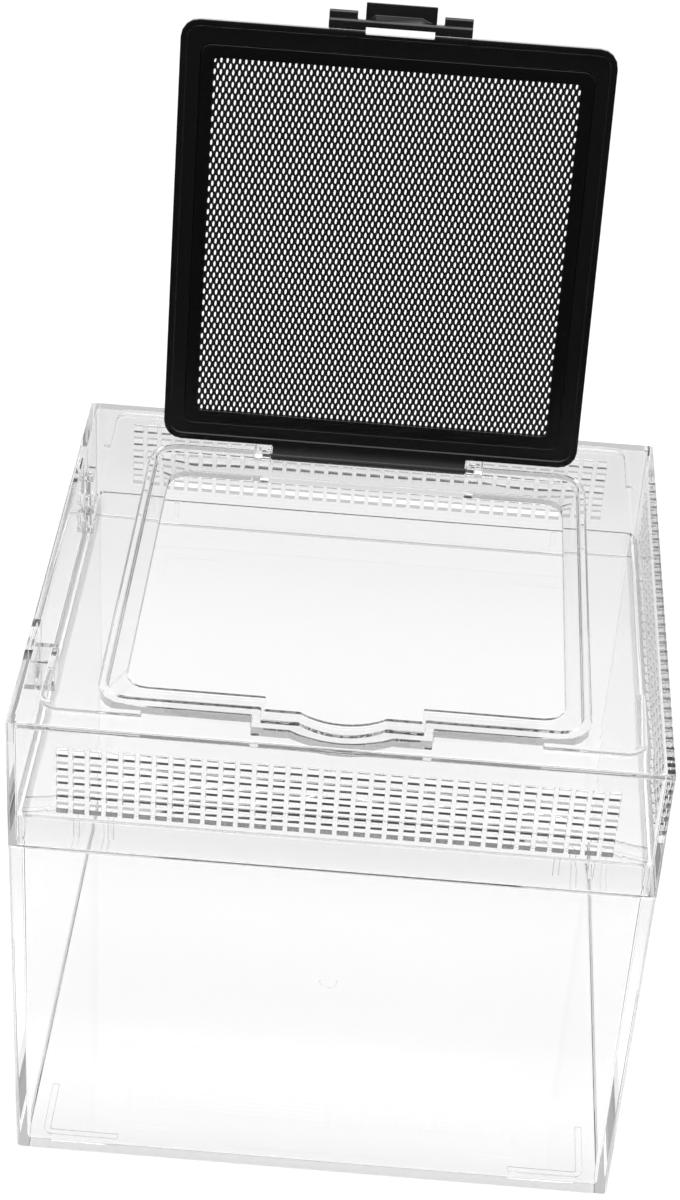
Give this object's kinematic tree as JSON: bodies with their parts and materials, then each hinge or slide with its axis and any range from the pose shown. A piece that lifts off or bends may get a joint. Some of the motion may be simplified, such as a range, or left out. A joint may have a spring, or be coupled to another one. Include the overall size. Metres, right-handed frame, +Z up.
{
  "type": "reptile breeding box",
  "caption": "Clear box for small reptiles or insects, with a vented lift-off lid, a hinged black mesh door in the lid's top and a hinged flap in its side wall.",
  "frame": {"origin": "under the middle of the space the part takes with its mesh door open, at the height of the feet's undersides", "axes": "+Z up; the front wall faces -Y; the side flap is in the -X wall and the side vents in the +X wall"},
  "size_m": [0.2, 0.2058, 0.3306],
  "materials": {
    "clear_plastic": "clear, polished",
    "black_plastic": "satin gloss",
    "black_net": "matte coated net"
  },
  "bodies": {
    "tub": {"base_tub": "clear_plastic"},
    "lid": {"lid_shell": "clear_plastic", "flap_pin": "clear_plastic"},
    "door": {"door_frame": "black_plastic", "mesh_retainer": "black_plastic", "door_mesh": "black_net"},
    "latch": {"door_latch": "black_plastic"},
    "flap": {"side_flap": "clear_plastic"}
  },
  "joints": [
    {"name": "lid_lift", "type": "slide", "parent": "tub", "child": "lid", "axis": [0, 0, 1], "range_m": [0, 0.06]},
    {"name": "door_hinge", "type": "hinge", "parent": "lid", "child": "door", "pos_m": [0, 0.06488, 0.177], "axis": [1, 0, 0], "range_deg": [0, 102.3]},
    {"name": "latch_flex", "type": "hinge", "parent": "door", "child": "latch", "pos_m": [0, 0.09802, 0.32243], "axis": [1, 0, 0], "range_deg": [-8, 0], "stiffness_Nm_per_rad": 0.05},
    {"name": "flap_hinge", "type": "hinge", "parent": "lid", "child": "flap", "pos_m": [-0.097, 0.05708, 0.1557], "axis": [0, 0, -1], "range_deg": [0, 95]}
  ]
}
